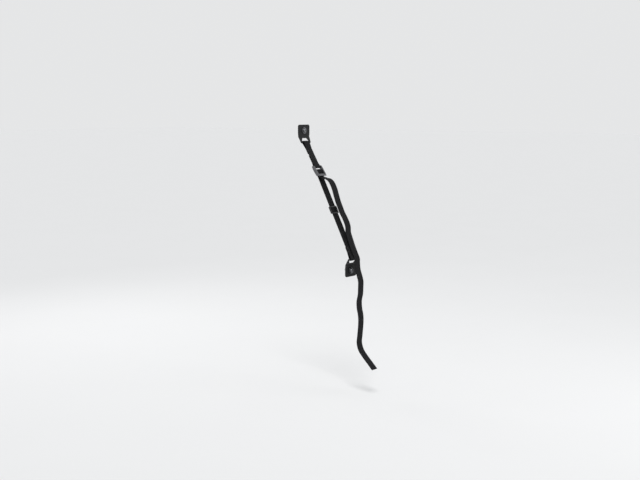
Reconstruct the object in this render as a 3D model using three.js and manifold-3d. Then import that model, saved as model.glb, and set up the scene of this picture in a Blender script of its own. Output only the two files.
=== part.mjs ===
import * as THREE from 'three';
import { mergeVertices } from 'three/addons/utils/BufferGeometryUtils.js';
import Module from 'manifold-3d';

// Furniture anti-tip strap: two screwed sheet steel brackets joined by adjustable webbing.
// Millimetres. X runs along the bars of the brackets and +Z is up. The webbing side of the
// object, away from what it is screwed to, is -Y, called outwards below. The origin is on the
// flat back of the upper bracket, on its centre line, between its screw hole and its bend.

const wasm = await Module();
wasm.setup();

// Driving sizes

// Where the two brackets are screwed on
const screwDrop = 382; // from the upper screw axis down to the lower one
const backStep = 164; // how far the lower bracket's back stands out from the upper one's

// Bracket: one stamped plate, bent once, with an opening that leaves a bar at its end
const sheetThickness = 2;
const plateWidth = 50;
const plateHeight = 33; // from the free edge to the start of the bend
const plateStraight = 24; // from the free edge to where the sides start to draw in
const plateCorner = 6;
const holeFromEdge = 16.5;
const holeRadius = 3.3;
const originBelowHole = 9;
const bendWidth = 47.6;
const bendAngle = THREE.MathUtils.degToRad(25);
const bendInnerRadius = 2;
const lipLength = 19; // from the end of the bend to the end of the bar
const lipEndWidth = 42;
const lipTaper = 0.15; // how much each side of the lip widens per millimetre up from its end
const lipCorner = 4;
const barHeight = 5;
const openingHeight = 10.4;
const openingWidthAtBar = 35;
const openingWidthAtBend = 18;
const openingCorner = 2;
const cutMargin = 4; // how far the cutting tools reach past what they cut

// Screws and washers
const washerRadius = 9;
const washerHole = 3.3;
const washerThickness = 1.6;
const headRadius = 6;
const headHeight = 4.2;
const headEdgeHeight = 1.6; // straight rim of the pan head, below its dome
const recessSpan = 6.4;
const recessWidth = 1.3;
const recessDepth = 2.4;
const upperShankRadius = 2.95;
const upperScrewLength = 16;
const lowerShankRadius = 2.45;
const lowerScrewLength = 25;
const lowerTipLength = 6;
const shankChamfer = 0.8;

// Webbing
const webWidth = 25;
const webThickness = 1.4;
const layerGap = 0.3; // between two layers that are sewn together
const clearance = 0.3; // between the webbing and what it passes
const seatGap = 0.1; // between screw, washer and plate

// Sewn loop between the upper bracket and the ladder lock
const loopSpan = 78.5; // from the bracket's bar to the fixed bar of the ladder lock
const loopAngle = THREE.MathUtils.degToRad(30.2); // outwards from straight down
const loopMergeAtBar = 20; // where its two layers meet below the bar
const loopMergeAtLock = 12;
const loopEndsGap = 4; // between the two cut ends, under the stitching
const loopStitchLength = 26;

// Ladder lock, measured from its fixed bar: along the strap, and outwards across it
const lockBarRadius = 2.2;
const strandOffset = -0.8; // centre of the loaded strand, across the strap
const middleBarAlong = 12;
const railGap = 28; // clear width between the side rails
const railThickness = 4;
const frontBarStart = 23.4;
const frontBarEnd = 27.6;
const frontBarHeight = 4.8;
const tabReach = 3.4; // thumb tab, beyond the front bar
const tabRise = 2.2;
const tabThickness = 2.1;
const railEndRadius = 3.4;
const railEndCorner = 2.8;
const railSwell = 0.9; // how far a rail stands out beyond the middle bar
const railSwellStart = 0.7; // where it does so, as a share of the way to the middle bar
const railSwellRadius = 8;
const railOverFront = 0.5; // how far it stands out beyond the front bar
const railOverFrontStart = 1;
const railOverFrontCorner = 3;
const railPastFront = 2; // how far it reaches along the strap past the front bar
const railUnderFront = 1.2;
const railTipDraw = 1;
const railTipCorner = 2;
const railUnderStrand = 1.4;
const railWaistDrop = 3; // from the middle bar to where the rail is deepest
const railWaistStart = 0.4;
const railWaistRadius = 5;
const frontBarSlope = 1.2; // how much its top draws in towards the middle bar
const frontBarCorner = 1;
const tabRootRadius = 2;
const tabRootDrop = 0.6;
const tabRootRise = 1.6;
const tabCorner = 0.7;
const ridgeCorner = 0.15;
const ridgeHeight = 0.45;
const ridgeCount = 3;

// Three-bar slide on the loaded strand
const slideAlong = 131;
const slideLength = 22;
const slideWidth = 30.5;
const slideRail = 2.2;
const slideBarThickness = 1.4;
const slideEndBar = 3.4;
const slideCentreBar = 4.4;
const slideCorner = 1.2;

// Sewn loop round the lower bracket's bar
const lowerMerge = 20;
const foldBack = 36; // from the lower bar to the cut end of the fold
const lowerStitchLength = 14;

// Stitching: a box with a cross in it on each face, joined by thread through the layers
const stitchWidth = 19;
const threadWidth = 1;
const threadHeight = 0.5;
const stitchEndMargin = 1.2;

// Free tail of the webbing: a route of 40 points chosen by hand, in three stretches.
// Where it leaves the ladder lock: along the strap and across it, from the tail's own start
const tailLeaving = [
  [0, 0], [2.5, 0], [5, 1], [8, 3], [11, 7],
];
// Down to the lower loop, which it rests on: the fraction of the way, and how far it bows out
const tailBow = [
  [0.06, 12], [0.08, 19], [0.1, 23], [0.13, 26], [0.16, 27], [0.2, 27], [0.24, 26],
  [0.3, 23], [0.36, 20], [0.42, 18], [0.48, 16], [0.54, 16], [0.6, 15], [0.65, 12],
  [0.7, 6], [0.76, 4], [0.84, 2], [0.92, 1], [1, 0.3],
];
// Below it: outwards and up, from where it rests on the loop
const tailHanging = [
  [1, -12], [3, -30], [9, -48], [13, -62], [13, -78], [12, -98], [8, -118], [9, -138],
  [13, -156], [14, -178], [11, -212], [9, -234], [15, -254], [29, -271], [45, -287],
  [61, -303],
];
const tailRestGap = 0.1; // spare room, more than a layer's gap, where the tail rests
const tailSideShift = 12; // how far the tail lies to one side where it hangs
const tailShiftStart = 60; // how far below the ladder lock it starts to lean
const tailShiftEnd = 180; // how far below the ladder lock it has reached that side
const tailSteps = 110;

// Derived places, as outwards and up

const halfLayers = (webThickness + layerGap) / 2;
const plateTop = holeFromEdge + originBelowHole;
const bendTop = plateTop - plateHeight;
const bendMidRadius = bendInnerRadius + sheetThickness / 2;
const bendCentre = new THREE.Vector2(sheetThickness + bendInnerRadius, bendTop);
const lipStart = new THREE.Vector2(
  bendCentre.x - bendMidRadius * Math.cos(bendAngle),
  bendCentre.y - bendMidRadius * Math.sin(bendAngle),
);
const barReach = lipLength - barHeight / 2;
const barCentre = new THREE.Vector2(
  lipStart.x + barReach * Math.sin(bendAngle),
  lipStart.y - barReach * Math.cos(bendAngle),
);
const lowerOrigin = new THREE.Vector2(backStep, 2 * originBelowHole - screwDrop);
const lowerBar = new THREE.Vector2(lowerOrigin.x + barCentre.x, lowerOrigin.y - barCentre.y);
const lockCentre = new THREE.Vector2(
  barCentre.x + loopSpan * Math.sin(loopAngle),
  barCentre.y - loopSpan * Math.cos(loopAngle),
);
const toLowerBar = lowerBar.clone().sub(lockCentre);
const lowerBarAcross = strandOffset - halfLayers;
const lowerBarAlong = Math.sqrt(toLowerBar.lengthSq() - lowerBarAcross ** 2);
const strandAngle = Math.atan2(toLowerBar.x, -toLowerBar.y)
  - Math.asin(lowerBarAcross / toLowerBar.length());
const barLoopRadius = Math.hypot(barHeight, sheetThickness) / 2 + clearance + webThickness / 2;
const lockLoopRadius = lockBarRadius + clearance + webThickness / 2;
const middleBarAcross = strandOffset + lockLoopRadius;
const tailAcross = strandOffset + webThickness + layerGap;
const frontBarUnder = tailAcross + webThickness / 2 + clearance;

// Materials

function material(colour, roughness, metalness) {
  return new THREE.MeshStandardMaterial({ color: colour, roughness, metalness });
}

const steel = material(0x17181a, 0.42, 0.6);
const screwSteel = material(0x2a2b2e, 0.3, 0.9);
const plastic = material(0x1c1d1f, 0.35, 0);
const buckleMetal = material(0x84868a, 0.4, 0.8);
const webbing = material(0x0c0c0d, 0.85, 0);
const thread = material(0x101011, 0.7, 0);

// Shapes and solids

// A closed outline through corners given as [across, up, radius]
function roundedOutline(corners) {
  const points = [];
  corners.forEach(([x, y, radius], i) => {
    const corner = new THREE.Vector2(x, y);
    const before = corners[(i + corners.length - 1) % corners.length];
    const after = corners[(i + 1) % corners.length];
    const back = new THREE.Vector2(before[0] - x, before[1] - y).normalize();
    const ahead = new THREE.Vector2(after[0] - x, after[1] - y).normalize();
    if (radius === 0) {
      points.push(corner);
      return;
    }
    const between = Math.acos(THREE.MathUtils.clamp(back.dot(ahead), -1, 1));
    const middle = back.clone().add(ahead).normalize();
    const centre = corner.clone().addScaledVector(middle, radius / Math.sin(between / 2));
    const start = corner.clone().addScaledVector(back, radius / Math.tan(between / 2));
    const turn = (Math.PI - between) * (back.cross(ahead) > 0 ? -1 : 1);
    const steps = Math.max(1, Math.ceil(Math.abs(turn) / arcStep(radius)));
    for (let k = 0; k <= steps; k += 1) {
      points.push(start.clone().rotateAround(centre, turn * k / steps));
    }
  });
  return new THREE.Shape(points);
}

// Small arcs are drawn with fewer steps than large ones
function arcStep(radius) {
  return THREE.MathUtils.degToRad(radius < 1 ? 30 : 11);
}

// Points round an arc from one angle to another, both ends included
function arcPoints(centreX, centreY, radius, from, to) {
  const steps = Math.max(3, Math.ceil(Math.abs(to - from) / arcStep(radius)));
  return Array.from({ length: steps + 1 }, (_, k) => {
    const angle = from + (to - from) * k / steps;
    return new THREE.Vector2(
      centreX + radius * Math.cos(angle),
      centreY + radius * Math.sin(angle),
    );
  });
}

function circleOutline(centreX, centreY, radius) {
  return new THREE.Shape(arcPoints(centreX, centreY, radius, 0, 2 * Math.PI).slice(1));
}

// The outline of a strip of even thickness along a list of points
function stripOutline(points, thickness) {
  const sides = points.map((point, i) => {
    const before = points[Math.max(i - 1, 0)];
    const after = points[Math.min(i + 1, points.length - 1)];
    const inward = point.clone().sub(before).normalize();
    const outward = after.clone().sub(point).normalize();
    const along = inward.add(outward).normalize();
    const turn = i > 0 && i < points.length - 1 ? along.dot(outward) : 1;
    const across = new THREE.Vector2(-along.y, along.x).multiplyScalar(thickness / 2 / turn);
    return [point.clone().add(across), point.clone().sub(across)];
  });
  const left = sides.map((side) => side[0]);
  const right = sides.map((side) => side[1]).reverse();
  return new THREE.Shape([...left, ...right]);
}

// Turns a geometry drawn flat so that its x, y and z run along three given directions
function turned(geometry, xAxis, yAxis, zAxis) {
  return geometry.applyMatrix4(new THREE.Matrix4().makeBasis(xAxis, yAxis, zAxis));
}

const rightwards = new THREE.Vector3(1, 0, 0);
const leftwards = new THREE.Vector3(-1, 0, 0);
const outwards = new THREE.Vector3(0, -1, 0);
const upwards = new THREE.Vector3(0, 0, 1);

// A side outline, drawn as outwards and up, made into a solid centred on X
function acrossX(shape, width, centre = 0) {
  const geometry = new THREE.ExtrudeGeometry(shape, {
    depth: width, bevelEnabled: false, curveSegments: 10,
  });
  geometry.translate(0, 0, -width / 2);
  return turned(geometry, outwards, upwards, leftwards).translate(centre, 0, 0);
}

// A front outline, drawn as X and up, made into a plate that grows outwards from its back
function platePiece(shape, thickness) {
  const geometry = new THREE.ExtrudeGeometry(shape, {
    depth: thickness, bevelEnabled: false, curveSegments: 10,
  });
  return turned(geometry, rightwards, upwards, outwards);
}

function toSolid(geometry) {
  const bare = geometry.clone();
  bare.deleteAttribute('normal');
  bare.deleteAttribute('uv');
  const merged = mergeVertices(bare, 1e-4);
  const corners = merged.index.array;
  const kept = [];
  for (let i = 0; i < corners.length; i += 3) {
    const [a, b, c] = corners.slice(i, i + 3);
    if (a !== b && b !== c && c !== a) kept.push(a, b, c);
  }
  return new wasm.Manifold(new wasm.Mesh({
    numProp: 3,
    vertProperties: new Float32Array(merged.attributes.position.array),
    triVerts: new Uint32Array(kept),
  }));
}

function toGeometry(solid) {
  const mesh = solid.getMesh();
  const geometry = new THREE.BufferGeometry();
  geometry.setAttribute('position', new THREE.BufferAttribute(mesh.vertProperties, 3));
  geometry.setIndex(new THREE.BufferAttribute(mesh.triVerts, 1));
  const flat = geometry.toNonIndexed();
  flat.computeVertexNormals();
  return flat;
}

function joined(geometries) {
  return geometries.map(toSolid).reduce((whole, piece) => whole.add(piece));
}

function mesh(name, geometry, finish) {
  const piece = new THREE.Mesh(geometry, finish);
  piece.name = name;
  return piece;
}

// Bracket

// The front outline of the plate, from its rounded free edge down past the bend
function plateOutline() {
  const half = plateWidth / 2;
  const pastBend = bendTop - cutMargin - 1;
  return roundedOutline([
    [-bendWidth / 2, pastBend, 0],
    [bendWidth / 2, pastBend, 0],
    [bendWidth / 2, bendTop, 0],
    [half, plateTop - plateStraight, 0],
    [half, plateTop, plateCorner],
    [-half, plateTop, plateCorner],
    [-half, plateTop - plateStraight, 0],
    [-bendWidth / 2, bendTop, 0],
  ]);
}

// The lip in its own plane, which starts at 0 where the bend ends
function lipOutline() {
  const half = lipEndWidth / 2;
  const start = half + (lipLength + 1) * lipTaper;
  return roundedOutline([
    [-start, 1, 0],
    [-half, -lipLength, lipCorner],
    [half, -lipLength, lipCorner],
    [start, 1, 0],
  ]);
}

function lipOpening() {
  const openingEnd = barHeight - lipLength;
  return roundedOutline([
    [-openingWidthAtBar / 2, openingEnd, openingCorner],
    [openingWidthAtBar / 2, openingEnd, openingCorner],
    [openingWidthAtBend / 2, openingEnd + openingHeight, openingCorner],
    [-openingWidthAtBend / 2, openingEnd + openingHeight, openingCorner],
  ]);
}

// The side outline of the bent blank, a little longer than the bracket at both ends
function blankOutline() {
  const reach = lipLength + 1;
  return stripOutline([
    new THREE.Vector2(sheetThickness / 2, plateTop + 1),
    ...arcPoints(bendCentre.x, bendCentre.y, bendMidRadius, Math.PI, Math.PI + bendAngle),
    new THREE.Vector2(
      lipStart.x + reach * Math.sin(bendAngle),
      lipStart.y - reach * Math.cos(bendAngle),
    ),
  ], sheetThickness);
}

// A prism with a front outline that reaches well past the sheet on both sides
function punch(outline, reach) {
  return platePiece(outline, 2 * reach).translate(0, reach, 0);
}

// The waste round an outline between two heights
function waste(outline, bottom, top) {
  const frame = roundedOutline([
    [-plateWidth, bottom, 0], [plateWidth, bottom, 0],
    [plateWidth, top, 0], [-plateWidth, top, 0],
  ]);
  return toSolid(punch(frame, 8)).subtract(toSolid(punch(outline, 12)));
}

function bracketGeometry() {
  const inLipPlane = new THREE.Matrix4().makeRotationX(-bendAngle);
  inLipPlane.setPosition(0, -lipStart.x, lipStart.y);
  const blank = toSolid(acrossX(blankOutline(), plateWidth + 2));
  const hole = toSolid(punch(circleOutline(0, originBelowHole, holeRadius), 8));
  const opening = toSolid(punch(lipOpening(), 8).applyMatrix4(inLipPlane));
  const plateWaste = waste(plateOutline(), bendTop - cutMargin, plateTop + cutMargin);
  const lipWaste = waste(lipOutline(), -lipLength - cutMargin, 0);
  const placedLipWaste = toSolid(toGeometry(lipWaste).applyMatrix4(inLipPlane));
  return toGeometry([hole, opening, plateWaste, placedLipWaste].reduce(
    (whole, tool) => whole.subtract(tool),
    blank,
  ));
}

// Screws and washers, drawn round Y with the head outwards

// A turned solid from points given as [radius, outwards], from the inner end to the outer one
function turnedSolid(points) {
  const profile = points.map(([radius, out]) => new THREE.Vector2(radius, -out)).reverse();
  return toSolid(new THREE.LatheGeometry(profile, 40));
}

function headProfile(underHead) {
  const rim = underHead + headEdgeHeight;
  const dome = new THREE.QuadraticBezierCurve(
    new THREE.Vector2(headRadius, rim),
    new THREE.Vector2(headRadius * 0.8, underHead + headHeight),
    new THREE.Vector2(headRadius * 0.35, underHead + headHeight),
  );
  const domePoints = dome.getPoints(6).map((point) => [point.x, point.y]);
  return [[headRadius, underHead], ...domePoints, [0, underHead + headHeight]];
}

function crossRecess(underHead) {
  const top = underHead + headHeight;
  const arms = [[recessSpan, recessWidth], [recessWidth, recessSpan]].map(([wide, high]) => {
    const arm = new THREE.BoxGeometry(wide, 2 * recessDepth, high);
    return arm.translate(0, -top, 0);
  });
  return joined(arms);
}

const washerBack = sheetThickness + seatGap;
const underHead = washerBack + washerThickness + seatGap;

function machineScrewGeometry() {
  const end = underHead - upperScrewLength;
  const body = turnedSolid([
    [0, end],
    [upperShankRadius - shankChamfer, end],
    [upperShankRadius, end + shankChamfer],
    [upperShankRadius, underHead],
    ...headProfile(underHead),
  ]);
  return toGeometry(body.subtract(crossRecess(underHead)));
}

function woodScrewGeometry() {
  const end = underHead - lowerScrewLength;
  const body = turnedSolid([
    [0, end],
    [lowerShankRadius, end + lowerTipLength],
    [lowerShankRadius, underHead],
    ...headProfile(underHead),
  ]);
  return toGeometry(body.subtract(crossRecess(underHead)));
}

function washerGeometry() {
  const shape = circleOutline(0, 0, washerRadius);
  shape.holes.push(circleOutline(0, 0, washerHole));
  return platePiece(shape, washerThickness).translate(0, -washerBack, 0);
}

// One fixing point: a bracket with its screw and washer, in the bracket's own place
function fixingPoint(prefix, screwGeometry) {
  const group = new THREE.Group();
  group.add(mesh(`${prefix}_bracket`, bracketGeometry(), steel));
  const screw = mesh(`${prefix}_screw`, screwGeometry, screwSteel);
  const washer = mesh(`${prefix}_washer`, washerGeometry(), screwSteel);
  screw.position.z = originBelowHole;
  washer.position.z = originBelowHole;
  group.add(screw, washer);
  return group;
}

// Webbing and stitching, drawn as across and up along the strap

// The angle past the side of a bar where a strip leaves it, to meet its other layer
function leaveAngle(radius, offset, distance) {
  return Math.atan2(distance, offset) - Math.acos(radius / Math.hypot(distance, offset));
}

// Stitching centred at a place up the strap, round layers that are centred across it
function stitchingSolid(centreUp, length, layersThickness, across) {
  const face = layersThickness / 2 + clearance;
  const halfLong = length / 2 - threadWidth;
  const halfWide = stitchWidth / 2 - threadWidth;
  const slant = Math.hypot(halfLong, halfWide) * threadWidth / 2;
  const inLong = slant / halfWide;
  const inWide = slant / halfLong;
  const endWide = (halfLong - inLong) * halfWide / halfLong;
  const endLong = (halfWide - inWide) * halfLong / halfWide;
  const shape = roundedOutline([
    [-stitchWidth / 2, -length / 2, 0], [stitchWidth / 2, -length / 2, 0],
    [stitchWidth / 2, length / 2, 0], [-stitchWidth / 2, length / 2, 0],
  ]);
  [-1, 1].forEach((side) => {
    shape.holes.push(roundedOutline([
      [0, side * inLong, 0], [endWide, side * halfLong, 0], [-endWide, side * halfLong, 0],
    ]));
    shape.holes.push(roundedOutline([
      [side * inWide, 0, 0], [side * halfWide, endLong, 0], [side * halfWide, -endLong, 0],
    ]));
  });
  const outer = platePiece(shape, threadHeight).translate(0, -(across + face), centreUp);
  const inner = platePiece(shape, threadHeight);
  inner.translate(0, -(across - face - threadHeight), centreUp);
  const columns = stitchCorners(centreUp, length).map(([x, up]) => {
    const column = new THREE.BoxGeometry(threadWidth, 2 * face + threadHeight, threadWidth);
    return column.translate(x, -across, up);
  });
  return joined([outer, inner, ...columns]);
}

function stitchCorners(centreUp, length) {
  const x = (stitchWidth - threadWidth) / 2;
  const up = (length - threadWidth) / 2;
  return [[x, up], [x, -up], [-x, up], [-x, -up]].map(([cx, cy]) => [cx, centreUp + cy]);
}

// The same strip with the holes that the stitching's thread passes through
function pierced(geometry, centreUp, length, across) {
  const size = threadWidth + 2 * clearance;
  const depth = 4 * webThickness + 2 * layerGap;
  const holes = stitchCorners(centreUp, length).map(([x, up]) => {
    const hole = new THREE.BoxGeometry(size, depth, size);
    return hole.translate(x, -across, up);
  });
  return holes.map(toSolid).reduce((whole, hole) => whole.subtract(hole), toSolid(geometry));
}

const twoLayers = 2 * webThickness + layerGap;
const loopStitchUp = -loopSpan / 2;

// The loop's strip, from one cut end over the bracket's bar and round the lock's fixed bar
function topLoopGeometry() {
  const atBar = leaveAngle(barLoopRadius, halfLayers, loopMergeAtBar);
  const atLock = leaveAngle(lockLoopRadius, halfLayers, loopMergeAtLock);
  const points = [
    new THREE.Vector2(-halfLayers, loopStitchUp + loopEndsGap / 2),
    new THREE.Vector2(-halfLayers, -loopMergeAtBar),
    ...arcPoints(0, 0, barLoopRadius, Math.PI + atBar, -atBar),
    new THREE.Vector2(halfLayers, -loopMergeAtBar),
    new THREE.Vector2(halfLayers, loopMergeAtLock - loopSpan),
    ...arcPoints(0, -loopSpan, lockLoopRadius, atLock, -Math.PI - atLock),
    new THREE.Vector2(-halfLayers, loopMergeAtLock - loopSpan),
    new THREE.Vector2(-halfLayers, loopStitchUp - loopEndsGap / 2),
  ];
  const strip = acrossX(stripOutline(points, webThickness), webWidth);
  return toGeometry(pierced(strip, loopStitchUp, loopStitchLength, 0));
}

const lowerStitchUp = foldBack - stitchEndMargin - lowerStitchLength / 2 - lowerBarAlong;

// The loaded strip, from its folded end round the lower bar, up to the ladder lock, over the
// middle bar and down under the front bar
function mainStrapGeometry() {
  const atBar = leaveAngle(barLoopRadius, halfLayers, lowerMerge);
  const inner = lowerBarAcross - halfLayers;
  const underBar = new THREE.Vector2(tailAcross, -frontBarStart);
  const slope = underBar.clone().sub(new THREE.Vector2(middleBarAcross, -middleBarAlong));
  const leave = slope.angle() - 2 * Math.PI + Math.acos(lockLoopRadius / slope.length());
  const ease = 1.5;
  const settling = new THREE.QuadraticBezierCurve(
    underBar.clone().addScaledVector(slope.normalize(), -ease),
    underBar,
    new THREE.Vector2(underBar.x, underBar.y - ease),
  );
  const points = [
    new THREE.Vector2(inner, foldBack - lowerBarAlong),
    new THREE.Vector2(inner, lowerMerge - lowerBarAlong),
    ...arcPoints(
      lowerBarAcross, -lowerBarAlong, barLoopRadius, Math.PI - atBar, 2 * Math.PI + atBar,
    ),
    new THREE.Vector2(strandOffset, lowerMerge - lowerBarAlong),
    new THREE.Vector2(strandOffset, -middleBarAlong - 2),
    ...arcPoints(middleBarAcross, -middleBarAlong, lockLoopRadius, Math.PI, leave),
    ...settling.getPoints(3),
    new THREE.Vector2(underBar.x, -(frontBarStart + frontBarEnd) / 2),
  ];
  const strip = acrossX(stripOutline(points, webThickness), webWidth);
  return toGeometry(pierced(strip, lowerStitchUp, lowerStitchLength, lowerBarAcross));
}

// The tail leans to one side on its way down
function tailShift(up) {
  return tailSideShift * THREE.MathUtils.smoothstep(lockCentre.y - up, tailShiftStart, tailShiftEnd);
}

// Its route, as outwards and up
function tailCurve() {
  const begin = (frontBarStart + frontBarEnd) / 2 + clearance;
  const start = placeOnStrap(begin, tailAcross);
  const rest = lowerBar.clone();
  rest.x += barLoopRadius + webThickness + layerGap + tailRestGap;
  const way = rest.clone().sub(start);
  const bowOut = new THREE.Vector2(-way.y, way.x).normalize();
  return new THREE.SplineCurve([
    ...tailLeaving.map(([along, across]) => placeOnStrap(begin + along, tailAcross + across)),
    ...tailBow.map(([fraction, bow]) => (
      start.clone().addScaledVector(way, fraction).addScaledVector(bowOut, bow)
    )),
    ...tailHanging.map(([out, up]) => new THREE.Vector2(rest.x + out, rest.y + up)),
  ]);
}

function tailGeometry() {
  const curve = tailCurve();
  const strip = acrossX(stripOutline(curve.getSpacedPoints(tailSteps), webThickness), webWidth);
  const position = strip.attributes.position;
  for (let i = 0; i < position.count; i += 1) {
    position.setX(i, position.getX(i) + tailShift(position.getZ(i)));
  }
  return strip;
}

// A place on the strap, along it and across it from the lock's fixed bar, as outwards and up
function placeOnStrap(along, across) {
  return new THREE.Vector2(
    lockCentre.x + along * Math.sin(strandAngle) + across * Math.cos(strandAngle),
    lockCentre.y - along * Math.cos(strandAngle) + across * Math.sin(strandAngle),
  );
}

// Ladder lock

// One side rail, as across and up, from round the fixed bar to the front bar's end
function railOutline() {
  const top = frontBarUnder + frontBarHeight;
  const end = frontBarEnd + railPastFront;
  return roundedOutline([
    [-railEndRadius, railEndRadius, railEndCorner],
    [railEndRadius, railEndRadius, railEndCorner],
    [middleBarAcross + lockBarRadius + railSwell, -middleBarAlong * railSwellStart, railSwellRadius],
    [top + railOverFront, railOverFrontStart - frontBarStart, railOverFrontCorner],
    [top, -end, railTipCorner],
    [frontBarUnder - railUnderFront, railTipDraw - end, railTipCorner],
    [strandOffset - railUnderStrand, -middleBarAlong - railWaistDrop, railSwellRadius],
    [-railEndRadius, -middleBarAlong * railWaistStart, railWaistRadius],
  ]);
}

// The front bar with its thumb tab, ridged on the outer face
function frontBarOutline() {
  const top = frontBarUnder + frontBarHeight;
  const end = frontBarEnd + tabReach;
  const corners = [
    [frontBarUnder, -frontBarEnd, frontBarCorner],
    [frontBarUnder, -frontBarStart, frontBarCorner / 2],
    [top - frontBarSlope, frontBarSlope / 2 - frontBarStart, frontBarCorner],
    [top, -frontBarStart - frontBarSlope, frontBarCorner],
  ];
  const first = new THREE.Vector2(top + ridgeHeight, frontBarSlope - frontBarEnd);
  const last = new THREE.Vector2(top + tabRise, tabCorner - end);
  const step = last.clone().sub(first).divideScalar(2 * ridgeCount);
  const lift = new THREE.Vector2(-step.y, step.x).normalize().multiplyScalar(ridgeHeight);
  for (let i = 0; i < 2 * ridgeCount; i += 1) {
    const place = first.clone().addScaledVector(step, i + 0.5);
    if (i % 2 === 1) place.add(lift);
    corners.push([place.x, place.y, ridgeCorner]);
  }
  corners.push([top + tabRise, -end, tabCorner]);
  corners.push([top + tabRise - tabThickness, -end, tabCorner]);
  corners.push([frontBarUnder + tabRootRise, -frontBarEnd - tabRootDrop, tabRootRadius]);
  return roundedOutline(corners);
}

function ladderLockGeometry() {
  const inside = railGap + railThickness;
  const railCentre = (railGap + railThickness) / 2;
  const bars = [[0, 0], [middleBarAcross, -middleBarAlong]].map(([across, up]) => (
    acrossX(circleOutline(across, up, lockBarRadius), inside)
  ));
  const rails = [-railCentre, railCentre].map((centre) => (
    acrossX(railOutline(), railThickness, centre)
  ));
  return toGeometry(joined([...rails, ...bars, acrossX(frontBarOutline(), inside)]));
}

// Three-bar slide: two end bars outside the strand, one centre bar behind it

function slideBar(centreUp, length, side) {
  const near = webThickness / 2 + clearance;
  const far = near + slideBarThickness;
  return acrossX(roundedOutline([
    [side * near, centreUp - length / 2, 0.5],
    [side * far, centreUp - length / 2, 0.7],
    [side * far, centreUp + length / 2, 0.7],
    [side * near, centreUp + length / 2, 0.5],
  ]), slideWidth - slideRail);
}

function slideGeometry() {
  const half = webThickness / 2 + clearance + slideBarThickness;
  const rail = roundedOutline([
    [half, slideLength / 2, slideCorner],
    [-half, slideLength / 2 - slideCorner, slideCorner],
    [-half, slideCorner - slideLength / 2, slideCorner],
    [half, -slideLength / 2, slideCorner],
  ]);
  const railCentre = (slideWidth - slideRail) / 2;
  const endUp = (slideLength - slideEndBar) / 2;
  return toGeometry(joined([
    acrossX(rail, slideRail, -railCentre),
    acrossX(rail, slideRail, railCentre),
    slideBar(endUp, slideEndBar, 1),
    slideBar(-endUp, slideEndBar, 1),
    slideBar(0, slideCentreBar, -1),
  ]));
}

// The whole strap

function topLoopGroup() {
  const group = new THREE.Group();
  group.position.set(0, -barCentre.x, barCentre.y);
  group.rotation.x = -loopAngle;
  const stitching = stitchingSolid(loopStitchUp, loopStitchLength, twoLayers, 0);
  group.add(mesh('top_loop', topLoopGeometry(), webbing));
  group.add(mesh('top_loop_stitching', toGeometry(stitching), thread));
  return group;
}

function strandGroup() {
  const group = new THREE.Group();
  group.position.set(0, -lockCentre.x, lockCentre.y);
  group.rotation.x = -strandAngle;
  const stitching = stitchingSolid(lowerStitchUp, lowerStitchLength, twoLayers, lowerBarAcross);
  const slide = mesh('three_bar_slide', slideGeometry(), plastic);
  slide.position.set(0, -strandOffset, -slideAlong);
  group.add(mesh('ladder_lock', ladderLockGeometry(), buckleMetal));
  group.add(mesh('main_strap', mainStrapGeometry(), webbing));
  group.add(mesh('lower_loop_stitching', toGeometry(stitching), thread));
  group.add(slide);
  return group;
}

const antiTipStrap = new THREE.Group();
antiTipStrap.name = 'furniture_anti_tip_strap';
antiTipStrap.add(fixingPoint('upper', machineScrewGeometry()));
antiTipStrap.add(topLoopGroup());
antiTipStrap.add(strandGroup());
antiTipStrap.add(mesh('strap_tail', tailGeometry(), webbing));

const lowerFixing = fixingPoint('lower', woodScrewGeometry());
lowerFixing.position.set(0, -lowerOrigin.x, lowerOrigin.y);
lowerFixing.rotation.y = Math.PI;
antiTipStrap.add(lowerFixing);

export default antiTipStrap;
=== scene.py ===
import math
import random

import bmesh
import bpy
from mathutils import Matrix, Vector


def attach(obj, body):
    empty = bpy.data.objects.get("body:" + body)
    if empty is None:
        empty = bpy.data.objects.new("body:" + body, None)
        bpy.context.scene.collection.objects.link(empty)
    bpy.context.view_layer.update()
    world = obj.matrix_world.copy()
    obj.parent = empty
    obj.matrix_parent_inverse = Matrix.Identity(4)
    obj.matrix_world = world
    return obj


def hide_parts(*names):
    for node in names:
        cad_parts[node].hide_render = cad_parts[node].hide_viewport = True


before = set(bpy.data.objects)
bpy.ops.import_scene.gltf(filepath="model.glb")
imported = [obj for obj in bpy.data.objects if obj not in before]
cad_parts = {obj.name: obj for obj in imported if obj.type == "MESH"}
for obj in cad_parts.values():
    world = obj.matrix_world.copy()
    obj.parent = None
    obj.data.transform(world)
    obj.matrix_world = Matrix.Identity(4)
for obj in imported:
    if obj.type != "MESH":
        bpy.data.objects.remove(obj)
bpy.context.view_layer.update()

# The furniture strap as it looks. Sizes are in millimetres until a mesh is made, which is in
# metres. A side view is drawn as (out, up): out is -Y, away from the wall, and up is Z.

MM = 0.001

# Camera and floor, in metres and degrees

CAMERA_PLACE = (-2.4359, -1.9209, 0.0721)
CAMERA_TILT = 83.15
CAMERA_TURN = -52.6
CAMERA_LENS = 61.875
CAMERA_SENSOR = 36
FLOOR_UP = -0.72
FLOOR_HALF = 30
LIT_MIDDLE = (0, -0.1, -0.25)

# Fineness of the meshes, and details that only the look needs

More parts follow.
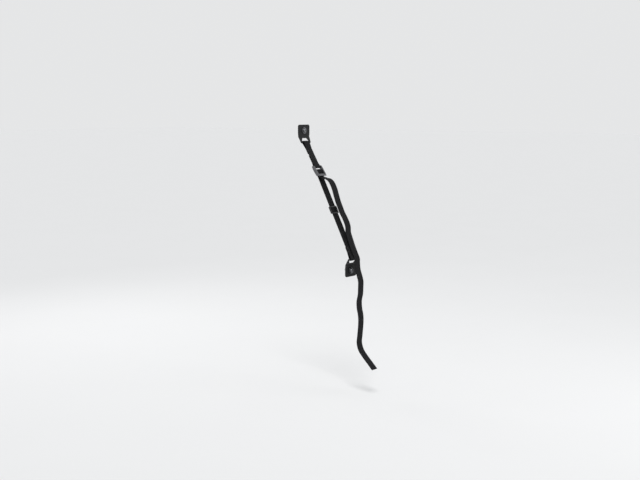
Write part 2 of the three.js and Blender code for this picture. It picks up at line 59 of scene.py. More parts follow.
RIBBON_STEP = 1.2
SPLINE_STEPS = 24
WEB_EDGE_BEAD = 0.7  # radius of the rounded edge of the webbing
WEB_FACE_SHARE = 0.93  # the face's share of the thickness, which its edges have in full
WEB_CELLS_ACROSS = 20
CUT_END_SHARE = 0.8  # the sealed cut end's share of the thickness
CUT_END_LENGTH = 1.4
COLUMN_WIDTH = 1.28  # one column of the weave
YARN_PITCH = 1.25
YARN_SLANT = 0.85
STITCH_EVERY = 2.7
STITCH_INSET = 0.6
STITCH_SINK = 0.02
STITCH_THREAD = 0.62
STRAND_PAST_MIDDLE = 2.0  # where the strand starts to bend round the middle bar
STRAND_EASE = 1.5
SCREW_SIDES = 40
SCREW_ROWS_PER_TURN = 12
CREST_HALF_SHARE = 0.36  # half of a thread's crest, as a share of its pitch
CREST_POWER = 0.8
HEAD_OVERLAP = 0.02

# Driving sizes, the same as in the model's source

SCREW_DROP = 382.0  # from the upper screw axis down to the lower one
BACK_STEP = 164.0  # how far the lower bracket's back stands out from the upper one's
SHEET_THICKNESS = 2.0
PLATE_HEIGHT = 33.0
HOLE_FROM_EDGE = 16.5
SCREW_UP = 9.0
BEND_ANGLE = math.radians(25)
BEND_INNER_RADIUS = 2.0
LIP_LENGTH = 19.0
BAR_HEIGHT = 5.0
WASHER_THICKNESS = 1.6
SEAT_GAP = 0.1
WEB_WIDTH = 25.0
WEB_THICKNESS = 1.4
LAYER_GAP = 0.3
CLEARANCE = 0.3
LOOP_SPAN = 78.5
LOOP_ANGLE = math.radians(30.2)
LOOP_MERGE_AT_BAR = 20.0
LOOP_MERGE_AT_LOCK = 12.0
LOOP_ENDS_GAP = 4.0
LOOP_STITCH_LENGTH = 26.0
LOCK_BAR_RADIUS = 2.2
STRAND_ACROSS = -0.8
MIDDLE_BAR_ALONG = 12.0
FRONT_BAR_START = 23.4
FRONT_BAR_END = 27.6
LOWER_MERGE = 20.0
FOLD_BACK = 36.0
LOWER_STITCH_LENGTH = 14.0
STITCH_WIDTH = 19.0
STITCH_END_MARGIN = 1.2

# Free tail: where it leaves the ladder lock, how it bows on its way to the lower loop that it
# rests on, and how it hangs below that. The points are given one by one.

TAIL_LEAVING = [(0, 0), (2.5, 0), (5, 1), (8, 3), (11, 7)]
TAIL_BOW = [
    (0.06, 12), (0.08, 19), (0.1, 23), (0.13, 26), (0.16, 27), (0.2, 27), (0.24, 26),
    (0.3, 23), (0.36, 20), (0.42, 18), (0.48, 16), (0.54, 16), (0.6, 15), (0.65, 12),
    (0.7, 6), (0.76, 4), (0.84, 2), (0.92, 1), (1, 0.3),
]
TAIL_HANGING = [
    (1, -12), (3, -30), (9, -48), (13, -62), (13, -78), (12, -98), (8, -118), (9, -138),
    (13, -156), (14, -178), (11, -212), (9, -234), (15, -254), (29, -271), (45, -287),
    (61, -303),
]
TAIL_REST_GAP = 0.1
TAIL_SIDE_SHIFT = 12.0
TAIL_SHIFT_START = 60.0
TAIL_SHIFT_END = 180.0

# Places worked out from them, as (out, up)

HALF_LAYERS = (WEB_THICKNESS + LAYER_GAP) / 2
BEND_RADIUS = BEND_INNER_RADIUS + SHEET_THICKNESS / 2
BEND_TOP = HOLE_FROM_EDGE + SCREW_UP - PLATE_HEIGHT
BAR_REACH = LIP_LENGTH - BAR_HEIGHT / 2
UPPER_BAR = (
    SHEET_THICKNESS + BEND_INNER_RADIUS - BEND_RADIUS * math.cos(BEND_ANGLE)
    + BAR_REACH * math.sin(BEND_ANGLE),
    BEND_TOP - BEND_RADIUS * math.sin(BEND_ANGLE) - BAR_REACH * math.cos(BEND_ANGLE),
)
LOWER_ORIGIN = (BACK_STEP, 2 * SCREW_UP - SCREW_DROP)
LOWER_BAR = (LOWER_ORIGIN[0] + UPPER_BAR[0], LOWER_ORIGIN[1] - UPPER_BAR[1])
LOCK = (
    UPPER_BAR[0] + LOOP_SPAN * math.sin(LOOP_ANGLE),
    UPPER_BAR[1] - LOOP_SPAN * math.cos(LOOP_ANGLE),
)
LOWER_ACROSS = STRAND_ACROSS - HALF_LAYERS
LOCK_TO_BAR = math.dist(LOCK, LOWER_BAR)
LOWER_BAR_ALONG = math.sqrt(LOCK_TO_BAR ** 2 - LOWER_ACROSS ** 2)
STRAND_ANGLE = (
    math.atan2(LOWER_BAR[0] - LOCK[0], LOCK[1] - LOWER_BAR[1])
    - math.asin(LOWER_ACROSS / LOCK_TO_BAR)
)
BAR_LOOP_RADIUS = math.hypot(BAR_HEIGHT, SHEET_THICKNESS) / 2 + CLEARANCE + WEB_THICKNESS / 2
LOCK_LOOP_RADIUS = LOCK_BAR_RADIUS + CLEARANCE + WEB_THICKNESS / 2
MIDDLE_BAR = (STRAND_ACROSS + LOCK_LOOP_RADIUS, -MIDDLE_BAR_ALONG)
TAIL_ACROSS = STRAND_ACROSS + WEB_THICKNESS + LAYER_GAP
STRAND_END = (FRONT_BAR_START + FRONT_BAR_END) / 2
TAIL_START = STRAND_END + CLEARANCE
UNDER_HEAD = SHEET_THICKNESS + WASHER_THICKNESS + 2 * SEAT_GAP
LOOP_STITCH_UP = -LOOP_SPAN / 2
LOWER_STITCH_UP = FOLD_BACK - STITCH_END_MARGIN - LOWER_STITCH_LENGTH / 2 - LOWER_BAR_ALONG


def make_camera():
    data = bpy.data.cameras.new("camera")
    data.lens = CAMERA_LENS
    data.sensor_width = CAMERA_SENSOR
    data.clip_start = 0.05
    data.clip_end = 60
    camera = bpy.data.objects.new("camera", data)
    camera.location = CAMERA_PLACE
    camera.rotation_euler = (math.radians(CAMERA_TILT), 0, math.radians(CAMERA_TURN))
    bpy.context.scene.collection.objects.link(camera)
    bpy.context.scene.camera = camera
    bpy.context.scene.view_settings.view_transform = "Standard"


make_camera()


# Geometry helpers

def point(x, out, up):
    return Vector((x, -out, up)) * MM


def on_strap(centre, angle):
    """Turns (across, up) in a strap's own side view into (out, up)."""
    def place(across, up):
        return (
            centre[0] + across * math.cos(angle) - up * math.sin(angle),
            centre[1] + across * math.sin(angle) + up * math.cos(angle),
        )
    return place


def arc(centre, radius, start, end, step=math.radians(7)):
    count = max(3, math.ceil(abs(end - start) / step))
    turns = [start + (end - start) * k / count for k in range(count + 1)]
    return [
        (centre[0] + radius * math.cos(t), centre[1] + radius * math.sin(t)) for t in turns
    ]


def leave_angle(radius, offset, distance):
    return math.atan2(distance, offset) - math.acos(radius / math.hypot(distance, offset))


def spline(points, per_span):
    """The Catmull-Rom curve that the model's source draws through points."""
    result = []
    last = len(points) - 1
    for i in range(last):
        p0 = points[max(i - 1, 0)]
        p1, p2 = points[i], points[i + 1]
        p3 = points[min(i + 2, last)]
        for k in range(per_span):
            t = k / per_span
            result.append(tuple(catmull(t, p0[c], p1[c], p2[c], p3[c]) for c in (0, 1)))
    result.append(points[-1])
    return result


def catmull(t, a, b, c, d):
    v0, v1 = (c - a) / 2, (d - b) / 2
    cubic = (2 * b - 2 * c + v0 + v1) * t ** 3
    return cubic + (-3 * b + 3 * c - 2 * v0 - v1) * t ** 2 + v0 * t + b


def resampled(points, step):
    """Evenly spaced points along a path, about a step apart."""
    spans = [math.dist(p, q) for p, q in zip(points, points[1:])]
    total = sum(spans)
    count = max(2, round(total / step))
    result, i, done = [], 0, 0.0
    for k in range(count + 1):
        want = total * k / count
        while i < len(spans) - 1 and done + spans[i] < want:
            done += spans[i]
            i += 1
        f = min(1.0, max(0.0, (want - done) / spans[i]))
        p, q = points[i], points[i + 1]
        result.append(tuple(a + (b - a) * f for a, b in zip(p, q)))
    return result


def smoothstep(x, low, high):
    t = min(1.0, max(0.0, (x - low) / (high - low)))
    return t * t * (3 - 2 * t)


def new_object(name, mesh, material, body):
    obj = bpy.data.objects.new(name, mesh)
    bpy.context.scene.collection.objects.link(obj)
    obj.data.materials.clear()
    obj.data.materials.append(material)
    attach(obj, body)
    return obj


def finished_mesh(bm, name, sharp_degrees=40):
    bmesh.ops.recalc_face_normals(bm, faces=bm.faces)
    mesh = bpy.data.meshes.new(name)
    bm.to_mesh(mesh)
    bm.free()
    mesh.shade_smooth()
    mesh.set_sharp_from_angle(angle=math.radians(sharp_degrees))
    return mesh


# Materials

class Nodes:
    """A short way to write a material's node tree."""

    def __init__(self, name, **settings):
        self.material = bpy.data.materials.new(name)
        self.material.use_nodes = True
        self.tree = self.material.node_tree
        self.shader = self.tree.nodes["Principled BSDF"]
        for socket, value in settings.items():
            self.shader.inputs[socket.replace("_", " ")].default_value = value

    def add(self, kind, inputs=(), **attributes):
        node = self.tree.nodes.new(kind)
        for key, value in attributes.items():
            setattr(node, key, value)
        for index, value in enumerate(inputs):
            if value is None:
                continue
            if isinstance(value, bpy.types.NodeSocket):
                self.tree.links.new(value, node.inputs[index])
            else:
                node.inputs[index].default_value = value
        return node

    def math(self, operation, *inputs):
        return self.add("ShaderNodeMath", inputs, operation=operation).outputs[0]

    def noise(self, scale, detail=3.0, vector=None):
        node = self.add("ShaderNodeTexNoise")
        node.inputs["Scale"].default_value = scale
        node.inputs["Detail"].default_value = detail
        if vector is None:
            vector = self.add("ShaderNodeTexCoord").outputs["Object"]
        self.tree.links.new(vector, node.inputs["Vector"])
        return node.outputs["Fac"]

    def ramp(self, value, stops):
        node = self.add("ShaderNodeValToRGB", [value])
        elements = node.color_ramp.elements
        while len(elements) < len(stops):
            elements.new(0.5)
        for element, (position, shade) in zip(elements, stops):
            element.position = position
            element.color = (*shade, 1) if isinstance(shade, tuple) else (shade,) * 3 + (1,)
        return node.outputs["Color"]

    def mix(self, factor, first, second):
        node = self.add("ShaderNodeMix", data_type="RGBA")
        for index, value in ((0, factor), (6, first), (7, second)):
            if isinstance(value, bpy.types.NodeSocket):
                self.tree.links.new(value, node.inputs[index])
            else:
                node.inputs[index].default_value = value if index == 0 else (*value, 1)
        return node.outputs[2]

    def bump(self, height, distance, strength=1.0, normal=None):
        node = self.add("ShaderNodeBump")
        node.inputs["Strength"].default_value = strength
        node.inputs["Distance"].default_value = distance
        self.tree.links.new(height, node.inputs["Height"])
        if normal is not None:
            self.tree.links.new(normal, node.inputs["Normal"])
        return node.outputs["Normal"]

    def set(self, socket, value):
        self.tree.links.new(value, self.shader.inputs[socket])


def webbing_material():
    """Narrow columns of slanted yarns that lean left and right by turns, as in herringbone."""
    n = Nodes("black_webbing", Sheen_Weight=0.02, Sheen_Roughness=0.5)
    n.shader.inputs["Specular IOR Level"].default_value = 0.1
    uv = n.add("ShaderNodeUVMap", uv_map="weave").outputs[0]
    parts = n.add("ShaderNodeSeparateXYZ", [uv])
    across, along = parts.outputs[0], parts.outputs[1]
    column = n.math("DIVIDE", across, COLUMN_WIDTH)
    index = n.math("FLOOR", column)
    inside = n.math("FRACT", column)
    lean = n.math("SUBTRACT", n.math("MULTIPLY", n.math("PINGPONG", index, 1.0), 2.0), 1.0)
    slant = n.math("MULTIPLY", n.math("MULTIPLY", inside, lean), YARN_SLANT)
    yarn_phase = n.math("FRACT", n.math("ADD", n.math("DIVIDE", along, YARN_PITCH), slant))
    yarn = n.math("SINE", n.math("MULTIPLY", yarn_phase, math.pi))
    rib = n.math("POWER", n.math("SINE", n.math("MULTIPLY", inside, math.pi)), 0.5)
    height = n.math("MULTIPLY", rib, n.math("ADD", 0.45, n.math("MULTIPLY", yarn, 0.55)))
    stretch = n.add("ShaderNodeVectorMath", [uv, (6.0, 1.0, 1.0)], operation="MULTIPLY")
    fibre = n.noise(2.2, 4.0, stretch.outputs[0])
    patches = n.noise(9.0, 3.0)
    # Colour follows the yarn height: the low gaps between the yarns are painted darker as painted
    # shade, and the raised yarn tops lighter as painted light.
    weave = n.ramp(height, [(0.12, (0.0014, 0.0014, 0.0017)), (0.85, (0.007, 0.007, 0.0078))])
    fibred = n.mix(n.math("MULTIPLY", fibre, 0.45), weave, (0.011, 0.011, 0.0122))
    worn = n.mix(n.math("MULTIPLY", patches, 0.3), fibred, (0.014, 0.014, 0.0153))
    n.set("Base Color", worn)
    n.set("Roughness", n.ramp(fibre, [(0.3, 0.62), (0.7, 0.86)]))
    full = n.math("ADD", height, n.math("MULTIPLY", fibre, 0.35))
    n.set("Normal", n.bump(full, 0.00032, 0.9))
    return n.material


def thread_material():
    n = Nodes("black_thread", Sheen_Weight=0.05)
    n.shader.inputs["Specular IOR Level"].default_value = 0.3
    twist = n.add("ShaderNodeTexWave", wave_type="BANDS", bands_direction="DIAGONAL")
    twist.inputs["Scale"].default_value = 700
    place = n.add("ShaderNodeTexCoord").outputs["Object"]
    n.tree.links.new(place, twist.inputs["Vector"])
    n.set("Base Color", n.ramp(twist.outputs["Fac"], [(0.1, 0.02), (0.9, 0.075)]))
    n.set("Roughness", n.ramp(n.noise(900), [(0.3, 0.5), (0.7, 0.7)]))
    n.set("Normal", n.bump(twist.outputs["Fac"], 0.0001, 0.8))
    return n.material


def coated_steel_material():
    """Fine-grained black powder coat with faint scuffs."""
    n = Nodes("black_coated_steel", Metallic=0.0, Coat_Weight=0.04, Coat_Roughness=0.4)
    n.shader.inputs["Specular IOR Level"].default_value = 0.2
    grain = n.noise(1500, 2.0)
    cloud = n.noise(60, 4.0)
    scuff = n.noise(420, 6.0)
    base = n.ramp(cloud, [(0.3, (0.006, 0.0061, 0.0068)), (0.75, (0.0105, 0.0107, 0.0118))])
    worn = n.ramp(scuff, [(0.66, 0.0), (0.74, 1.0)])
    n.set("Base Color", n.mix(n.math("MULTIPLY", worn, 0.35), base, (0.09, 0.09, 0.095)))
    n.set("Roughness", n.ramp(cloud, [(0.2, 0.42), (0.8, 0.58)]))
    n.set("Normal", n.bump(grain, 0.00012, 0.55))
    return n.material


def screw_material():
    n = Nodes("dark_zinc", Metallic=0.9)
    brushed = n.add("ShaderNodeVectorMath", [
        n.add("ShaderNodeTexCoord").outputs["Object"], (1.0, 9.0, 1.0),
    ], operation="MULTIPLY").outputs[0]
    fine = n.noise(900, 3.0, brushed)
    cloud = n.noise(240, 3.0)
    n.set("Base Color", n.ramp(cloud, [(0.3, (0.1, 0.102, 0.108)), (0.75, (0.23, 0.234, 0.245))]))
    n.set("Roughness", n.ramp(fine, [(0.3, 0.24), (0.7, 0.4)]))
    n.set("Normal", n.bump(fine, 0.00005, 0.5))
    return n.material


def plastic_material():
    """Moulded black plastic with a light grain and a soft gloss."""
    n = Nodes("black_moulded_plastic")
    n.shader.inputs["Specular IOR Level"].default_value = 0.55
    grain = n.noise(2200, 2.0)
    cloud = n.noise(90, 4.0)
    handling = n.noise(700, 5.0)
    base = n.ramp(cloud, [(0.3, (0.011, 0.011, 0.012)), (0.75, (0.02, 0.02, 0.022))])
    marks = n.math("MULTIPLY", n.ramp(handling, [(0.62, 0.0), (0.74, 1.0)]), 0.25)
    n.set("Base Color", n.mix(marks, base, (0.07, 0.07, 0.072)))
    n.set("Roughness", n.ramp(cloud, [(0.2, 0.24), (0.8, 0.38)]))
    n.set("Normal", n.bump(grain, 0.00006, 0.45))
    return n.material


def buckle_material():
    """Satin grey metal with a fine tumbled grain and small handling marks."""
    n = Nodes("satin_buckle_metal", Metallic=0.8)
    grain = n.noise(1900, 3.0)
    cloud = n.noise(110, 4.0)
    marks = n.ramp(n.noise(620, 5.0), [(0.6, 0.0), (0.72, 1.0)])
    base = n.ramp(cloud, [(0.3, (0.11, 0.11, 0.116)), (0.75, (0.175, 0.175, 0.183))])
    n.set("Base Color", n.mix(n.math("MULTIPLY", marks, 0.3), base, (0.12, 0.12, 0.125)))
    n.set("Roughness", n.ramp(cloud, [(0.2, 0.36), (0.8, 0.5)]))
    n.set("Normal", n.bump(grain, 0.00005, 0.5))
    return n.material


WEBBING = webbing_material()
THREAD = thread_material()
STEEL = coated_steel_material()
SCREW = screw_material()
PLASTIC = plastic_material()
BUCKLE = buckle_material()


# Webbing

def ring_outline():
    """One cross-section: across in millimetres, and the share of the half thickness."""
    bead = WEB_EDGE_BEAD
    flat = WEB_FACE_SHARE
    cells = WEB_CELLS_ACROSS
    half = WEB_WIDTH / 2
    cross = [-half + bead + (WEB_WIDTH - 2 * bead) * k / cells for k in range(cells + 1)]
    face = [flat + (1 - flat) * smoothstep(abs(x), half - 2.4, half - 1.4) for x in cross]
    right = [
        (half - bead + bead * math.cos(math.radians(d)), math.sin(math.radians(d)))
        for d in (55, 20, -20, -55)
    ]
    top = list(zip(cross, face))
    bottom = [(x, -f) for x, f in reversed(top)]
    left = [(-x, -f) for x, f in right]
    return top + right + bottom + left


def ribbon(name, centreline, shift, body, end_seal=(True, True)):
    """A length of webbing along a side-view centreline, moved sideways by shift(place)."""
    outline = ring_outline()
    girth = [0.0]
    for a, b in zip(outline, outline[1:] + outline[:1]):
        girth.append(girth[-1] + math.dist(
            (a[0], a[1] * WEB_THICKNESS / 2), (b[0], b[1] * WEB_THICKNESS / 2),
        ))
    bm = bmesh.new()
    layer = bm.loops.layers.uv.new("weave")
    thinner = 1 - CUT_END_SHARE
    rings, lengths, length = [], [], 0.0
    total = sum(math.dist(p, q) for p, q in zip(centreline, centreline[1:]))
    for i, (out, up) in enumerate(centreline):
        before, after = centreline[max(i - 1, 0)], centreline[min(i + 1, len(centreline) - 1)]
        if i:
            length += math.dist(centreline[i - 1], (out, up))
        size = math.dist(before, after)
        normal = (-(after[1] - before[1]) / size, (after[0] - before[0]) / size)
        seal = 1.0
        if end_seal[0]:
            seal = min(seal, CUT_END_SHARE + thinner * smoothstep(length, 0, CUT_END_LENGTH))
        if end_seal[1]:
            to_end = total - length
            seal = min(seal, CUT_END_SHARE + thinner * smoothstep(to_end, 0, CUT_END_LENGTH))
        side = shift(out, up)
        ring = []
        for x, f in outline:
            t = f * WEB_THICKNESS / 2 * seal
            ring.append(bm.verts.new(point(x + side, out + normal[0] * t, up + normal[1] * t)))
        rings.append(ring)
        lengths.append(length)
    count = len(outline)
    for i in range(len(rings) - 1):
        for j in range(count):
            k = (j + 1) % count
            face = bm.faces.new((rings[i][j], rings[i][k], rings[i + 1][k], rings[i + 1][j]))
            marks = ((j, i), (j + 1, i), (j + 1, i + 1), (j, i + 1))
            for loop, (jj, ii) in zip(face.loops, marks):
                loop[layer].uv = (girth[jj], lengths[ii])
    for ring, at in ((rings[0], 0.0), (rings[-1], length)):
        face = bm.faces.new(ring)
        for loop, (x, f) in zip(face.loops, outline):
            loop[layer].uv = (x + WEB_WIDTH / 2, at + f * 0.5)
    return new_object(name, finished_mesh(bm, name, 55), WEBBING, body)


def straight(out, up):
    return 0.0


def tail_shift(out, up):
    return TAIL_SIDE_SHIFT * smoothstep(LOCK[1] - up, TAIL_SHIFT_START, TAIL_SHIFT_END)


def split_long(points, step):
    """The same path with its long straight spans divided."""
    result = [points[0]]
    for p, q in zip(points, points[1:]):
        count = max(1, math.ceil(math.dist(p, q) / step))
        for k in range(1, count + 1):
            result.append(tuple(a + (b - a) * k / count for a, b in zip(p, q)))
    return result


def tail_centreline():
    place = on_strap(LOCK, STRAND_ANGLE)
    start = place(TAIL_ACROSS, -TAIL_START)
    lay_over = BAR_LOOP_RADIUS + WEB_THICKNESS + LAYER_GAP + TAIL_REST_GAP
    rest = (LOWER_BAR[0] + lay_over, LOWER_BAR[1])
    way = (rest[0] - start[0], rest[1] - start[1])
    size = math.hypot(*way)
    bow_out = (-way[1] / size, way[0] / size)
    points = [place(TAIL_ACROSS + across, -(TAIL_START + along)) for along, across in TAIL_LEAVING]
    points += [
        (start[0] + way[0] * f + bow_out[0] * bow, start[1] + way[1] * f + bow_out[1] * bow)
        for f, bow in TAIL_BOW
    ]
    points += [(rest[0] + out, rest[1] + up) for out, up in TAIL_HANGING]
    return resampled(spline(points, SPLINE_STEPS), RIBBON_STEP)


def make_tail():
    centreline = tail_centreline()
    tail = ribbon("free_tail", centreline, tail_shift, "strand", (False, True))
    path = [tuple(point(tail_shift(*p), *p)) for p in centreline]
    length = sum(math.dist(a, b) for a, b in zip(path, path[1:]))
    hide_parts("strap_tail")


make_tail()


def make_top_loop():
    place = on_strap(UPPER_BAR, LOOP_ANGLE)
    at_bar = leave_angle(BAR_LOOP_RADIUS, HALF_LAYERS, LOOP_MERGE_AT_BAR)
    at_lock = leave_angle(LOCK_LOOP_RADIUS, HALF_LAYERS, LOOP_MERGE_AT_LOCK)
    path = [(-HALF_LAYERS, LOOP_STITCH_UP + LOOP_ENDS_GAP / 2)]
    path += [(-HALF_LAYERS, -LOOP_MERGE_AT_BAR)]
    path += arc((0, 0), BAR_LOOP_RADIUS, math.pi + at_bar, -at_bar)
    path += [(HALF_LAYERS, -LOOP_MERGE_AT_BAR), (HALF_LAYERS, LOOP_MERGE_AT_LOCK - LOOP_SPAN)]
    path += arc((0, -LOOP_SPAN), LOCK_LOOP_RADIUS, at_lock, -math.pi - at_lock)
    path += [(-HALF_LAYERS, LOOP_MERGE_AT_LOCK - LOOP_SPAN)]
    path += [(-HALF_LAYERS, LOOP_STITCH_UP - LOOP_ENDS_GAP / 2)]
    centreline = [place(*p) for p in split_long(path, RIBBON_STEP)]
    loop = ribbon("short_sewn_loop", centreline, straight, "sewn_loop")
    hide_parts("top_loop")


def make_strand():
    place = on_strap(LOCK, STRAND_ANGLE)
    at_bar = leave_angle(BAR_LOOP_RADIUS, HALF_LAYERS, LOWER_MERGE)
    inner = LOWER_ACROSS - HALF_LAYERS
    under = (TAIL_ACROSS, -FRONT_BAR_START)
    slope = (under[0] - MIDDLE_BAR[0], under[1] - MIDDLE_BAR[1])
    size = math.hypot(*slope)
    leave = math.atan2(slope[1], slope[0]) + math.acos(LOCK_LOOP_RADIUS / size)
    ease = STRAND_EASE
    before = (under[0] - slope[0] / size * ease, under[1] - slope[1] / size * ease)
    path = [(inner, FOLD_BACK - LOWER_BAR_ALONG), (inner, LOWER_MERGE - LOWER_BAR_ALONG)]
    centre = (LOWER_ACROSS, -LOWER_BAR_ALONG)
    path += arc(centre, BAR_LOOP_RADIUS, math.pi - at_bar, 2 * math.pi + at_bar)
    path += [(STRAND_ACROSS, LOWER_MERGE - LOWER_BAR_ALONG)]
    path += [(STRAND_ACROSS, MIDDLE_BAR[1] - STRAND_PAST_MIDDLE)]
    path += arc(MIDDLE_BAR, LOCK_LOOP_RADIUS, math.pi, leave)
    path += [before, ((before[0] + under[0]) / 2 - 0.02, (before[1] + under[1]) / 2 - 0.3)]
    path += [(under[0], under[1] - ease), (under[0], -STRAND_END)]
    centreline = [place(*p) for p in split_long(path, RIBBON_STEP)]
    strand = ribbon("loaded_strand", centreline, straight, "strand", (True, False))
    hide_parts("main_strap")


make_top_loop()
make_strand()


# Stitching

def stitch(bm, start, end, face_normal, rise, thickness):
    """One stitch: a plump thread that dives into the webbing at both ends."""
    along = end - start
    side = along.normalized().cross(face_normal)
    rings = []
    steps, sides = 7, 7
    for k in range(steps + 1):
        t = k / steps
        swell = math.sin(math.pi * t) ** 0.45 if 0 < t < 1 else 0.0
        centre = start + along * t + face_normal * (rise * (swell * 1.35 - 0.35))
        radius = thickness / 2 * (0.5 + 0.5 * swell)
        rings.append([
            bm.verts.new(
                centre
                + side * (radius * math.cos(2 * math.pi * j / sides))
                + face_normal * (radius * 0.85 * math.sin(2 * math.pi * j / sides))
            )
            for j in range(sides)
        ])
    for a, b in zip(rings, rings[1:]):
        for j in range(sides):
            k = (j + 1) % sides
            bm.faces.new((a[j], a[k], b[k], b[j]))
    bm.faces.new(rings[0])
    bm.faces.new(rings[-1])


def box_stitching(name, place, across_centre, centre_up, length, node, body, seed):
    rng = random.Random(seed)
    bm = bmesh.new()
    half_wide = STITCH_WIDTH / 2 - STITCH_INSET
    half_long = length / 2 - STITCH_INSET
    corners = [(-half_wide, -half_long), (half_wide, -half_long),
               (half_wide, half_long), (-half_wide, half_long)]
    lines = [(corners[i], corners[(i + 1) % 4]) for i in range(4)]
    lines += [(corners[0], corners[2]), (corners[1], corners[3])]
    surface = HALF_LAYERS + WEB_THICKNESS / 2 - STITCH_SINK
    for face in (1, -1):
        normal = Vector(
            point(0, *place(face, 0)) - point(0, *place(0, 0))
        ).normalized()
        for (x0, u0), (x1, u1) in lines:
            size = math.dist((x0, u0), (x1, u1))
            count = max(2, round(size / STITCH_EVERY))
            for k in range(count):
                ends = []
                for f in ((k + 0.07) / count, (k + 0.93) / count):
                    x = x0 + (x1 - x0) * f + rng.uniform(-0.07, 0.07)
                    u = u0 + (u1 - u0) * f + rng.uniform(-0.05, 0.05)
                    side = place(across_centre + face * surface, centre_up + u)
                    ends.append(point(x, *side))
                rise = rng.uniform(0.2, 0.27) * MM
                stitch(bm, ends[0], ends[1], normal, rise, STITCH_THREAD * MM)
    obj = new_object(name, finished_mesh(bm, name, 80), THREAD, body)
    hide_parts(node)


box_stitching(
    "short_loop_sewing", on_strap(UPPER_BAR, LOOP_ANGLE), 0, LOOP_STITCH_UP,
    LOOP_STITCH_LENGTH, "top_loop_stitching", "sewn_loop", 11,
)
box_stitching(
    "lower_loop_sewing", on_strap(LOCK, STRAND_ANGLE), LOWER_ACROSS, LOWER_STITCH_UP,
    LOWER_STITCH_LENGTH, "lower_loop_stitching", "strand", 12,
)


# Hard parts: the model's own solids with eased edges

def refined(node, name, bevel, material, body, segments=2, angle=28):
    """A copy of a solid whose facets are joined and whose sharp edges are rounded."""
    bm = bmesh.new()
    bm.from_mesh(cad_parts[node].data)
    bmesh.ops.remove_doubles(bm, verts=bm.verts, dist=1e-6)
    bmesh.ops.dissolve_limit(
        bm, angle_limit=math.radians(1.5), verts=bm.verts, edges=bm.edges,
    )
    mesh = bpy.data.meshes.new(name)
    bm.to_mesh(mesh)
    bm.free()
    mesh.shade_smooth()
    mesh.set_sharp_from_angle(angle=math.radians(angle))
    obj = new_object(name, mesh, material, body)
    rounding = obj.modifiers.new("rounding", "BEVEL")
    rounding.width = bevel * MM
    rounding.segments = segments
    rounding.limit_method = "ANGLE"
    rounding.angle_limit = math.radians(angle)
    rounding.use_clamp_overlap = True
    shading = obj.modifiers.new("shading", "WEIGHTED_NORMAL")
    shading.weight = 100
    depsgraph = bpy.context.evaluated_depsgraph_get()
    depsgraph.update()
    rounded = bpy.data.meshes.new_from_object(obj.evaluated_get(depsgraph))
    obj.modifiers.clear()
    obj.data = rounded
    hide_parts(node)
    return obj


for end in ("upper", "lower"):
    refined(f"{end}_bracket", f"{end}_stamped_plate", 0.28, STEEL, f"{end}_fixing")
    refined(f"{end}_washer", f"{end}_flat_washer", 0.18, SCREW, f"{end}_fixing")
refined("ladder_lock", "satin_ladder_lock", 0.35, BUCKLE, "strand")
refined("three_bar_slide", "moulded_slide", 0.3, PLASTIC, "slide")


# Screws

def screw(name, node, centre, root, outer, pitch, end, tip, body):
    """The model's own screw head on a shank with a real helical thread."""
    bm = bmesh.new()
    bm.from_mesh(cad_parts[node].data)
    bmesh.ops.remove_doubles(bm, verts=bm.verts, dist=1e-6)
    cut = point(centre[0], centre[1] + UNDER_HEAD - HEAD_OVERLAP, centre[2])
    geometry = bm.verts[:] + bm.edges[:] + bm.faces[:]
    result = bmesh.ops.bisect_plane(
        bm, geom=geometry, plane_co=cut, plane_no=(0, -1, 0), clear_inner=True,
    )
    edges = [e for e in result["geom_cut"] if isinstance(e, bmesh.types.BMEdge)]
    bmesh.ops.edgeloop_fill(bm, edges=edges)
    around = SCREW_SIDES
    step = pitch / SCREW_ROWS_PER_TURN
    length = UNDER_HEAD - end
    rows = round(length / step)
    rings = []
    for i in range(rows + 1):
        at = end + length * i / rows
        left = at - end
        taper = min(1.0, 0.04 + 0.96 * left / tip) if tip else 1.0
        plain = smoothstep(UNDER_HEAD - at, 1.0, 2.2)
        start = smoothstep(left, 0, 1.2)
        ring = []
        for j in range(around):
            turn = 2 * math.pi * j / around
            phase = (at / pitch - j / around) % 1.0
            crest = max(0.0, 1 - abs(phase - 0.5) / CREST_HALF_SHARE) ** CREST_POWER
            radius = (root + (outer - root) * crest * plain * start) * taper
            ring.append(bm.verts.new(point(
                centre[0] + radius * math.cos(turn), centre[1] + at,
                centre[2] + radius * math.sin(turn),
            )))
        rings.append(ring)
    for a, b in zip(rings, rings[1:]):
        for j in range(around):
            k = (j + 1) % around
            bm.faces.new((a[j], a[k], b[k], b[j]))
    bm.faces.new(rings[0])
    bm.faces.new(rings[-1])
    obj = new_object(name, finished_mesh(bm, name, 34), SCREW, body)
    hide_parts(node)


screw(
    "upper_machine_screw", "upper_screw", (0, 0, SCREW_UP), root=2.5, outer=2.94, pitch=1.0,
    end=-12.2, tip=0, body="upper_fixing",
)
screw(
    "lower_wood_screw", "lower_screw", (0, LOWER_ORIGIN[0], LOWER_ORIGIN[1] - SCREW_UP),
    root=1.75, outer=2.44, pitch=2.2, end=-21.2, tip=6, body="lower_fixing",
)


# Floor, world and lights

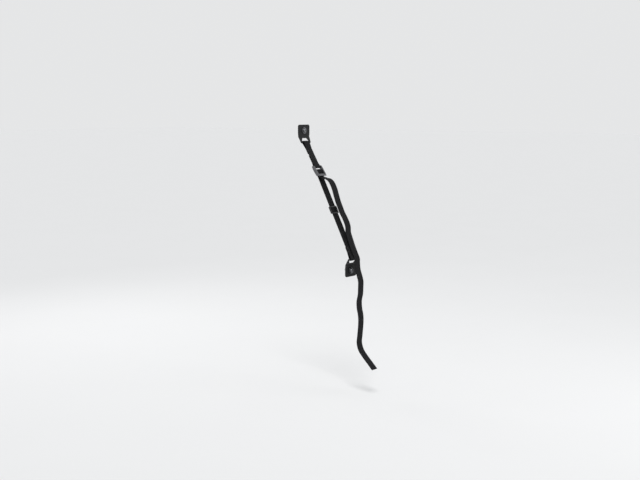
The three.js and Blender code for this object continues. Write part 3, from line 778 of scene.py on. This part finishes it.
def make_stage():
    bm = bmesh.new()
    bmesh.ops.create_grid(bm, x_segments=2, y_segments=2, size=FLOOR_HALF)
    mesh = bpy.data.meshes.new("floor")
    bm.to_mesh(mesh)
    bm.free()
    n = Nodes("pale_floor", Roughness=0.85)
    n.set("Base Color", n.ramp(n.noise(3.0), [(0.3, 0.774), (0.7, 0.78)]))
    floor = bpy.data.objects.new("floor", mesh)
    floor.location = (0, 0, FLOOR_UP)
    mesh.materials.append(n.material)
    bpy.context.scene.collection.objects.link(floor)


def make_world():
    """Even pale light; the camera, and mirror-like surfaces, see the floor's own tone."""
    world = bpy.data.worlds.new("studio")
    world.use_nodes = True
    tree = world.node_tree
    light = tree.nodes["Background"]
    light.inputs["Color"].default_value = (0.66, 0.67, 0.68, 1)
    seen = tree.nodes.new("ShaderNodeBackground")
    seen.inputs["Color"].default_value = (0.787, 0.793, 0.799, 1)
    path = tree.nodes.new("ShaderNodeLightPath")
    rays = tree.nodes.new("ShaderNodeMath")
    rays.operation = "MAXIMUM"
    tree.links.new(path.outputs["Is Camera Ray"], rays.inputs[0])
    tree.links.new(path.outputs["Is Glossy Ray"], rays.inputs[1])
    mix = tree.nodes.new("ShaderNodeMixShader")
    tree.links.new(rays.outputs[0], mix.inputs[0])
    tree.links.new(light.outputs[0], mix.inputs[1])
    tree.links.new(seen.outputs[0], mix.inputs[2])
    tree.links.new(mix.outputs[0], tree.nodes["World Output"].inputs["Surface"])
    bpy.context.scene.world = world


def lamp(name, kind, place, target, **settings):
    data = bpy.data.lights.new(name, kind)
    for key, value in settings.items():
        setattr(data, key, value)
    light = bpy.data.objects.new(name, data)
    light.location = place
    aim = Vector(target) - Vector(place)
    light.rotation_euler = aim.to_track_quat("-Z", "Y").to_euler()
    bpy.context.scene.collection.objects.link(light)


make_stage()
make_world()
lamp("key", "SUN", (-1.4, -1.2, 2.2), LIT_MIDDLE, energy=1.3, angle=math.radians(20))
lamp("side", "AREA", (0.5, -1.6, 0.5), LIT_MIDDLE, energy=5, size=0.9)
lamp("back", "AREA", (0.3, 1.5, 0.7), LIT_MIDDLE, energy=5, size=0.9)
